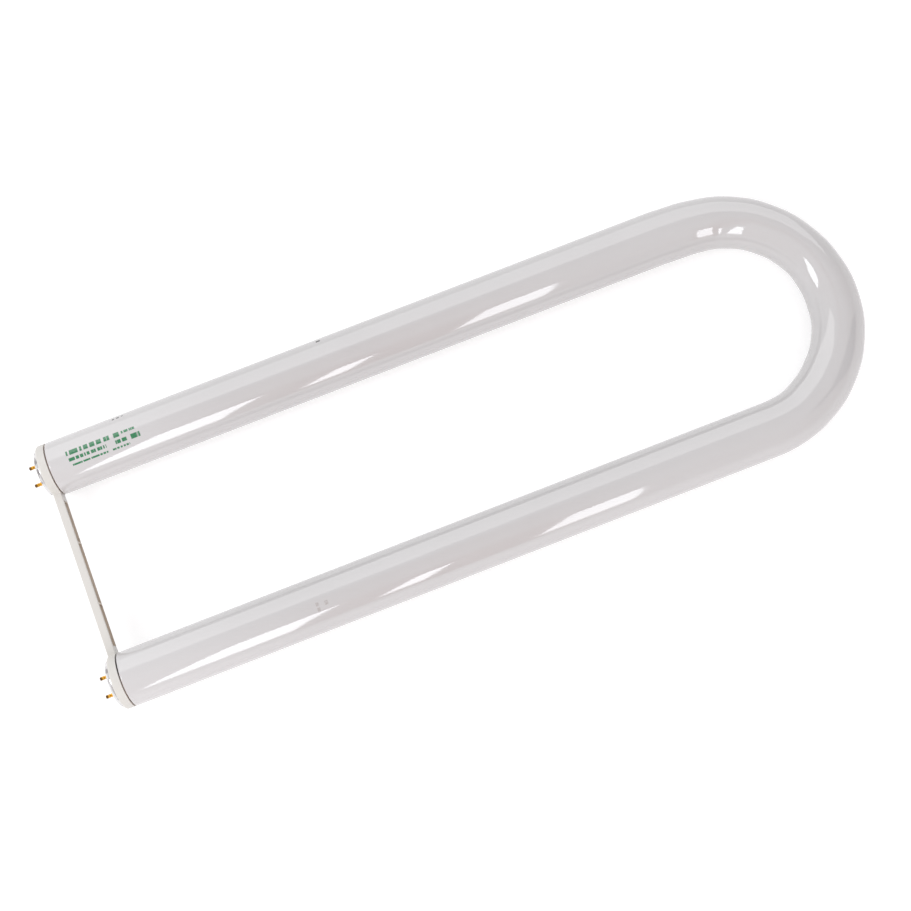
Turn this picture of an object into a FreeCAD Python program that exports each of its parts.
"""U-bent fluorescent lamp: one white-coated glass tube bent into a U, a metal base with two pins on each leg,
and a moulded brace that holds the two legs at their spacing. Millimetres, lying flat, +X towards the bend,
+Y towards the left leg, +Z up. The origin is on the surface it lies on, under the middle of its length."""

import os

import FreeCAD
import Part
import Sketcher

LAMP_SIZES = {
    "overall_length": 571.5,  # pin tips to the outside of the bend
    "leg_spacing": 152.4,  # axis to axis
    "tube_diameter": 37.5,
    "shoulder_round": 1.2,  # where the tube turns in to its neck
    "shoulder_gap": 0.6,  # open groove between the brace and the tube's shoulder
    "glass_setback": 4.6,  # end of the sealed glass behind the base face
    "pin_length": 7.1,
    "pin_diameter": 2.4,
    "pin_spacing": 12.7,
    "pin_tip_round": 0.5,
    "crimp_from_tip": 2.8,
    "crimp_width": 0.8,
    "crimp_depth": 0.12,
    "pin_head_diameter": 4.0,
    "pin_head_thickness": 0.6,
    "wire_diameter": 0.7,
    "cap_wall": 0.5,
    "cap_corner": 4.0,  # rounded edge of the metal base
    "cap_land": 2.5,  # flat ring of the base face around the insulator
    "cap_depth": 8.8,
    "disc_proud": 0.4,  # insulator's face in front of the base face
    "disc_overlap": 2.1,  # insulator's flange behind the land
    "disc_flange": 1.5,
    "cement_thickness": 0.7,
    "cement_setback": 5.0,
    "cement_width": 3.6,
    "collar_setback": 3.1,  # bare metal in front of the brace
    "collar_width": 6.0,
    "collar_wall": 1.65,
    "collar_round": 1.5,
    "bar_height": 10.0,
    "bar_setback": 0.5,  # bar's back behind the collars' back
    "bar_round": 0.6,
    "bar_wall": 1.2,
    "bar_end": 5.0,  # solid end of the bar beside each collar
    "rib_thickness": 1.2,
    "rib_spacing": 44.0,
    "fit": 0.05,  # clearance between pieces that slide together
}
SIDES = {"left": 1, "right": -1}


class Size:
    """A length that knows its value and the spreadsheet expression it comes from."""

    def __init__(self, value, text):
        self.value = value
        self.text = text

    @staticmethod
    def of(other):
        return other if isinstance(other, Size) else Size(float(other), str(other))

    def join(self, sign, other, value):
        return Size(value, f"({self.text} {sign} {other.text})")

    def __add__(self, other):
        other = Size.of(other)
        return self.join("+", other, self.value + other.value)

    def __sub__(self, other):
        other = Size.of(other)
        return self.join("-", other, self.value - other.value)

    def __mul__(self, other):
        other = Size.of(other)
        return self.join("*", other, self.value * other.value)

    def __truediv__(self, other):
        other = Size.of(other)
        return self.join("/", other, self.value / other.value)

    def __neg__(self):
        return Size(-self.value, f"(0 - {self.text})")


ZERO = Size(0.0, "0")


def write_sheet(doc):
    """The driving dimensions, one row each, with the name as the alias. Returns them as sizes."""
    sheet = doc.addObject("Spreadsheet::Sheet", "sizes")
    sizes = {}
    for row, (name, value) in enumerate(LAMP_SIZES.items(), start=1):
        sheet.set(f"A{row}", name)
        sheet.set(f"B{row}", str(value))
        sheet.setAlias(f"B{row}", name)
        sizes[name] = Size(value, f"sizes.{name}")
    doc.recompute()
    return sizes


class Lamp:
    """Places and radii that several pieces share. Axial places run from the pin tips towards the bend."""

    def __init__(self, size):
        self.size = size
        self.tube_radius = size["tube_diameter"] / 2
        self.leg_offset = size["leg_spacing"] / 2
        self.tips_at = -(size["overall_length"] / 2)
        self.base_face = size["pin_length"]
        self.pin_radius = size["pin_diameter"] / 2
        self.collar_back = self.base_face + size["collar_setback"]
        self.collar_front = self.collar_back + size["collar_width"]
        self.bore_radius = self.tube_radius - size["collar_wall"]
        self.cap_radius = self.bore_radius - size["fit"] * 2
        self.cap_inside = self.cap_radius - size["cap_wall"]
        self.cap_end = self.base_face + size["cap_depth"]
        self.neck_radius = self.cap_inside - size["cement_thickness"]
        self.glass_end = self.base_face + size["glass_setback"]
        self.shoulder = self.collar_front + size["shoulder_gap"]
        self.tube_start = self.shoulder + size["shoulder_round"]
        self.bend_centre = size["overall_length"] - self.tube_radius - self.leg_offset
        self.corner_inside = self.cap_radius - size["cap_corner"]
        self.opening_radius = self.corner_inside - size["cap_land"]
        self.disc_front = self.base_face - size["disc_proud"]
        self.flange_front = self.base_face + size["cap_wall"]
        self.flange_back = self.flange_front + size["disc_flange"]
        self.head_back = self.flange_back + size["pin_head_thickness"]
        self.wire_radius = size["wire_diameter"] / 2


def place(item, x, y, z):
    """Binds an object's position to the sheet."""
    for axis, length in zip("xyz", (x, y, z)):
        item.setExpression(f"Placement.Base.{axis}", length.text)


def new_body(doc, label, lamp, y):
    """A body at the pin tips' plane, on the line at y across the lamp."""
    body = doc.addObject("PartDesign::Body", label)
    body.Label = label
    place(body, lamp.tips_at, y, lamp.tube_radius)
    return body


def new_sketch(body, name, plane, offset=(ZERO, ZERO, ZERO)):
    """A sketch on one of the body's own origin planes, moved by offset in the sketch's own axes."""
    sketch = body.newObject("Sketcher::SketchObject", name)
    support = next(f for f in body.Origin.OriginFeatures if f.Role == plane)
    sketch.AttachmentSupport = [(support, "")]
    sketch.MapMode = "FlatFace"
    for axis, length in zip("xyz", offset):
        if length is not ZERO:
            sketch.setExpression(f"AttachmentOffset.Base.{axis}", length.text)
    return sketch


def pin_point(sketch, geometry, point, axis, length):
    """Holds one coordinate of a point at a length from the sketch's origin."""
    if length is ZERO:
        line = -2 if axis == "X" else -1
        sketch.addConstraint(Sketcher.Constraint("PointOnObject", geometry, point, line))
        return
    at = sketch.addConstraint(Sketcher.Constraint(f"Distance{axis}", -1, 1, geometry, point, length.value))
    sketch.setExpression(f"Constraints[{at}]", length.text)


def vector(point):
    return FreeCAD.Vector(point[0].value, point[1].value, 0)


def draw_outline(sketch, corners, rounds=None):
    """A closed outline through the corners. rounds gives, for a corner's number, the centre of the arc that leaves it."""
    rounds = rounds or {}
    made = []
    for number, corner in enumerate(corners):
        start = vector(corner)
        end = vector(corners[(number + 1) % len(corners)])
        if number not in rounds:
            made.append((sketch.addGeometry(Part.LineSegment(start, end), False), 1, 2))
            continue
        centre = vector(rounds[number])
        turns_left = (start - centre).cross(end - centre).z > 0
        first, last = (start, end) if turns_left else (end, start)
        circle = Part.Circle(centre, FreeCAD.Vector(0, 0, 1), (start - centre).Length)
        arc = Part.ArcOfCircle(circle, circle.parameter(first), circle.parameter(last))
        points = (1, 2) if turns_left else (2, 1)
        made.append((sketch.addGeometry(arc, False), *points))
    for number, (geometry, begin, finish) in enumerate(made):
        following, following_begin, _ = made[(number + 1) % len(made)]
        sketch.addConstraint(Sketcher.Constraint("Coincident", geometry, finish, following, following_begin))
        across, up = corners[number]
        pin_point(sketch, geometry, begin, "X", across)
        pin_point(sketch, geometry, begin, "Y", up)
        if number in rounds:
            pin_point(sketch, geometry, 3, "X", rounds[number][0])


def draw_circle(sketch, across, up, radius):
    circle = Part.Circle(FreeCAD.Vector(across.value, up.value, 0), FreeCAD.Vector(0, 0, 1), radius.value)
    geometry = sketch.addGeometry(circle, False)
    at = sketch.addConstraint(Sketcher.Constraint("Radius", geometry, radius.value))
    sketch.setExpression(f"Constraints[{at}]", radius.text)
    pin_point(sketch, geometry, 3, "X", across)
    pin_point(sketch, geometry, 3, "Y", up)


def draw_box(sketch, low, high):
    """A rectangle between two opposite corners."""
    draw_outline(sketch, [low, (high[0], low[1]), high, (low[0], high[1])])


def turn(body, sketch, name, kind="PartDesign::Revolution"):
    """Turns a sketch a full circle about its own horizontal axis, adding material or cutting a groove."""
    feature = body.newObject(kind, name)
    feature.Profile = sketch
    feature.ReferenceAxis = (sketch, ["H_Axis"])
    feature.Angle = 360
    return feature


def glass_tube(doc, lamp):
    """The sealed tube: two straight legs and the bend, narrowed at each end to a neck inside the base."""
    body = new_body(doc, "glass_tube", lamp, ZERO)
    path = new_sketch(body, "tube_path", "XY_Plane")
    ends = [(lamp.tube_start, side) for side in (lamp.leg_offset, -lamp.leg_offset)]
    turns = [(lamp.bend_centre, side) for side in (lamp.leg_offset, -lamp.leg_offset)]
    left = path.addGeometry(Part.LineSegment(vector(ends[0]), vector(turns[0])), False)
    circle = Part.Circle(vector((lamp.bend_centre, ZERO)), FreeCAD.Vector(0, 0, 1), lamp.leg_offset.value)
    first, last = circle.parameter(vector(turns[1])), circle.parameter(vector(turns[0]))
    bend = path.addGeometry(Part.ArcOfCircle(circle, first, last), False)
    right = path.addGeometry(Part.LineSegment(vector(turns[1]), vector(ends[1])), False)
    path.addConstraint(Sketcher.Constraint("Coincident", left, 2, bend, 2))
    path.addConstraint(Sketcher.Constraint("Coincident", bend, 1, right, 1))
    for geometry, point, place_at in ((left, 1, ends[0]), (left, 2, turns[0]), (right, 1, turns[1]), (right, 2, ends[1])):
        pin_point(path, geometry, point, "X", place_at[0])
        pin_point(path, geometry, point, "Y", place_at[1])
    pin_point(path, bend, 3, "X", lamp.bend_centre)
    section = new_sketch(body, "tube_section", "YZ_Plane", (ZERO, ZERO, lamp.tube_start))
    draw_circle(section, lamp.leg_offset, ZERO, lamp.tube_radius)
    pipe = body.newObject("PartDesign::AdditivePipe", "bent_tube")
    pipe.Profile = section
    pipe.Spine = (path, ["Edge1", "Edge2", "Edge3"])
    for name, sign in SIDES.items():
        sketch = new_sketch(body, f"{name}_neck_outline", "XY_Plane", (ZERO, lamp.leg_offset * sign, ZERO))
        round_foot = lamp.tube_radius - lamp.size["shoulder_round"]
        corners = [
            (lamp.glass_end, ZERO),
            (lamp.glass_end, lamp.neck_radius),
            (lamp.shoulder, lamp.neck_radius),
            (lamp.shoulder, round_foot),
            (lamp.tube_start, lamp.tube_radius),
            (lamp.tube_start, ZERO),
        ]
        draw_outline(sketch, corners, {3: (lamp.tube_start, round_foot)})
        turn(body, sketch, f"{name}_neck")
    return body


def end_cap(doc, lamp, side, sign):
    """The drawn metal shell of one base, with a rounded edge and a round opening in its face."""
    body = new_body(doc, f"{side}_end_cap", lamp, lamp.leg_offset * sign)
    sketch = new_sketch(body, f"{side}_cap_outline", "XY_Plane")
    corner = lamp.base_face + lamp.size["cap_corner"]
    centre = (corner, lamp.corner_inside)
    corners = [
        (lamp.base_face, lamp.opening_radius),
        (lamp.base_face, lamp.corner_inside),
        (corner, lamp.cap_radius),
        (lamp.cap_end, lamp.cap_radius),
        (lamp.cap_end, lamp.cap_inside),
        (corner, lamp.cap_inside),
        (lamp.flange_front, lamp.corner_inside),
        (lamp.flange_front, lamp.opening_radius),
    ]
    draw_outline(sketch, corners, {1: centre, 5: centre})
    turn(body, sketch, f"{side}_cap_shell")
    return body


def insulator(doc, lamp, side, sign):
    """The stepped disc that fills the base's opening and carries the two pins clear of the metal."""
    body = new_body(doc, f"{side}_insulator", lamp, lamp.leg_offset * sign)
    sketch = new_sketch(body, f"{side}_disc_outline", "XY_Plane")
    face_radius = lamp.opening_radius - lamp.size["fit"]
    flange_radius = lamp.opening_radius + lamp.size["disc_overlap"]
    corners = [
        (lamp.disc_front, ZERO),
        (lamp.disc_front, face_radius),
        (lamp.flange_front, face_radius),
        (lamp.flange_front, flange_radius),
        (lamp.flange_back, flange_radius),
        (lamp.flange_back, ZERO),
    ]
    draw_outline(sketch, corners)
    turn(body, sketch, f"{side}_disc")
    holes = new_sketch(body, f"{side}_pin_holes", "YZ_Plane", (ZERO, ZERO, lamp.disc_front))
    for hole in (lamp.size["pin_spacing"] / 2, -(lamp.size["pin_spacing"] / 2)):
        draw_circle(holes, hole, ZERO, lamp.pin_radius + lamp.size["fit"])
    pocket = body.newObject("PartDesign::Pocket", f"{side}_pin_hole_pair")
    pocket.Profile = holes
    pocket.Reversed = True
    pocket.setExpression("Length", (lamp.flange_back - lamp.disc_front).text)
    return body


def base_cement(doc, lamp, side, sign):
    """The ring of cement that holds one base on the neck of the glass."""
    body = new_body(doc, f"{side}_base_cement", lamp, lamp.leg_offset * sign)
    sketch = new_sketch(body, f"{side}_cement_outline", "XY_Plane")
    start = lamp.base_face + lamp.size["cement_setback"]
    draw_box(sketch, (start, lamp.neck_radius), (start + lamp.size["cement_width"], lamp.cap_inside))
    turn(body, sketch, f"{side}_cement_ring")
    return body


def contact_pin(doc, lamp, label, y):
    """One turned pin: rounded tip, a crimp round its middle and a riveted head behind the insulator."""
    size = lamp.size
    body = new_body(doc, label, lamp, y)
    sketch = new_sketch(body, f"{label}_outline", "XY_Plane")
    tip = lamp.pin_radius - size["pin_tip_round"]
    waist = lamp.pin_radius - size["crimp_depth"]
    crimp = size["crimp_from_tip"]
    crimp_end = crimp + size["crimp_width"]
    slope = size["crimp_width"] / 4
    corners = [
        (ZERO, ZERO),
        (ZERO, tip),
        (size["pin_tip_round"], lamp.pin_radius),
        (crimp, lamp.pin_radius),
        (crimp + slope, waist),
        (crimp_end - slope, waist),
        (crimp_end, lamp.pin_radius),
        (lamp.flange_back, lamp.pin_radius),
        (lamp.flange_back, size["pin_head_diameter"] / 2),
        (lamp.head_back, size["pin_head_diameter"] / 2),
        (lamp.head_back, ZERO),
    ]
    draw_outline(sketch, corners, {1: (size["pin_tip_round"], tip)})
    turn(body, sketch, f"{label}_turned")
    return body


def lead_wire(doc, lamp, label, y):
    """The wire from the sealed glass to the head of one pin."""
    wire = doc.addObject("Part::Cylinder", label)
    wire.Label = label
    wire.setExpression("Radius", lamp.wire_radius.text)
    wire.setExpression("Height", (lamp.glass_end - lamp.head_back).text)
    wire.Placement = FreeCAD.Placement(FreeCAD.Vector(), FreeCAD.Rotation(FreeCAD.Vector(0, 1, 0), 90))
    place(wire, lamp.tips_at + lamp.head_back, y, lamp.tube_radius)
    return wire


def brace(doc, lamp):
    """The one-piece moulding: a collar round each base and a ribbed channel between them, open towards the bend."""
    size = lamp.size
    body = new_body(doc, "brace", lamp, ZERO)
    back = lamp.collar_back + size["bar_setback"]
    front = lamp.collar_front
    half = size["bar_height"] / 2
    edge = size["bar_round"]
    section = new_sketch(body, "bar_section", "XZ_Plane")
    corners = [
        (back, -half + edge),
        (back + edge, -half),
        (front - edge, -half),
        (front, -half + edge),
        (front, half - edge),
        (front - edge, half),
        (back + edge, half),
        (back, half - edge),
    ]
    rounds = {
        0: (back + edge, -half + edge),
        2: (front - edge, -half + edge),
        4: (front - edge, half - edge),
        6: (back + edge, half - edge),
    }
    draw_outline(section, corners, rounds)
    bar = body.newObject("PartDesign::Pad", "bar")
    bar.Profile = section
    bar.Midplane = True
    bar.setExpression("Length", size["leg_spacing"].text)
    hollow = new_sketch(body, "channel_cells", "YZ_Plane", (ZERO, ZERO, front))
    inside = half - size["bar_wall"]
    rib_near = size["rib_spacing"] / 2 - size["rib_thickness"] / 2
    rib_far = size["rib_spacing"] / 2 + size["rib_thickness"] / 2
    cell_end = lamp.leg_offset - lamp.tube_radius - size["bar_end"]
    for low, high in ((-cell_end, -rib_far), (-rib_near, rib_near), (rib_far, cell_end)):
        draw_box(hollow, (low, -inside), (high, inside))
    cells = body.newObject("PartDesign::Pocket", "channel")
    cells.Profile = hollow
    cells.setExpression("Length", (front - back - size["bar_wall"]).text)
    for name, sign in SIDES.items():
        sketch = new_sketch(body, f"{name}_collar_outline", "XY_Plane", (ZERO, lamp.leg_offset * sign, ZERO))
        turned_in = lamp.tube_radius - size["collar_round"]
        outline = [
            (lamp.collar_back, ZERO),
            (lamp.collar_back, turned_in),
            (lamp.collar_back + size["collar_round"], lamp.tube_radius),
            (front, lamp.tube_radius),
            (front, ZERO),
        ]
        draw_outline(sketch, outline, {1: (lamp.collar_back + size["collar_round"], turned_in)})
        turn(body, sketch, f"{name}_collar")
    for name, sign in SIDES.items():
        sketch = new_sketch(body, f"{name}_bore_outline", "XY_Plane", (ZERO, lamp.leg_offset * sign, ZERO))
        draw_box(sketch, (lamp.collar_back, ZERO), (front, lamp.bore_radius))
        turn(body, sketch, f"{name}_bore", "PartDesign::Groove")
    return body


def build(doc):
    """Every sub-part of the lamp, in the order they go together."""
    lamp = Lamp(write_sheet(doc))
    pieces = [glass_tube(doc, lamp)]
    for side, sign in SIDES.items():
        axis = lamp.leg_offset * sign
        pieces.append(base_cement(doc, lamp, side, sign))
        pieces.append(end_cap(doc, lamp, side, sign))
        pieces.append(insulator(doc, lamp, side, sign))
        for which, step in (("outer", sign), ("inner", -sign)):
            y = axis + lamp.size["pin_spacing"] / 2 * step
            pieces.append(contact_pin(doc, lamp, f"{side}_{which}_pin", y))
            pieces.append(lead_wire(doc, lamp, f"{side}_{which}_wire", y))
    pieces.append(brace(doc, lamp))
    doc.recompute()
    return pieces


def check(doc, pieces):
    """Stops if an object failed or a piece is not one sound solid."""
    failed = [item.Name for item in doc.Objects if {"Invalid", "Error"} & set(item.State)]
    if failed:
        raise SystemExit(f"these objects failed: {failed}")
    for piece in pieces:
        shape = piece.Shape
        if shape.isNull() or not shape.isValid() or len(shape.Solids) != 1:
            raise SystemExit(f"{piece.Label} is not one sound solid")


def main():
    doc = FreeCAD.newDocument("u_lamp")
    pieces = build(doc)
    check(doc, pieces)
    os.makedirs("parts", exist_ok=True)
    for piece in pieces:
        piece.Shape.exportStep(os.path.join("parts", f"{piece.Label}.step"))
        box = piece.Shape.BoundBox
        print(f"{piece.Label}: {box.XLength:.2f} x {box.YLength:.2f} x {box.ZLength:.2f}, {piece.Shape.Volume:.1f} mm3")


main()
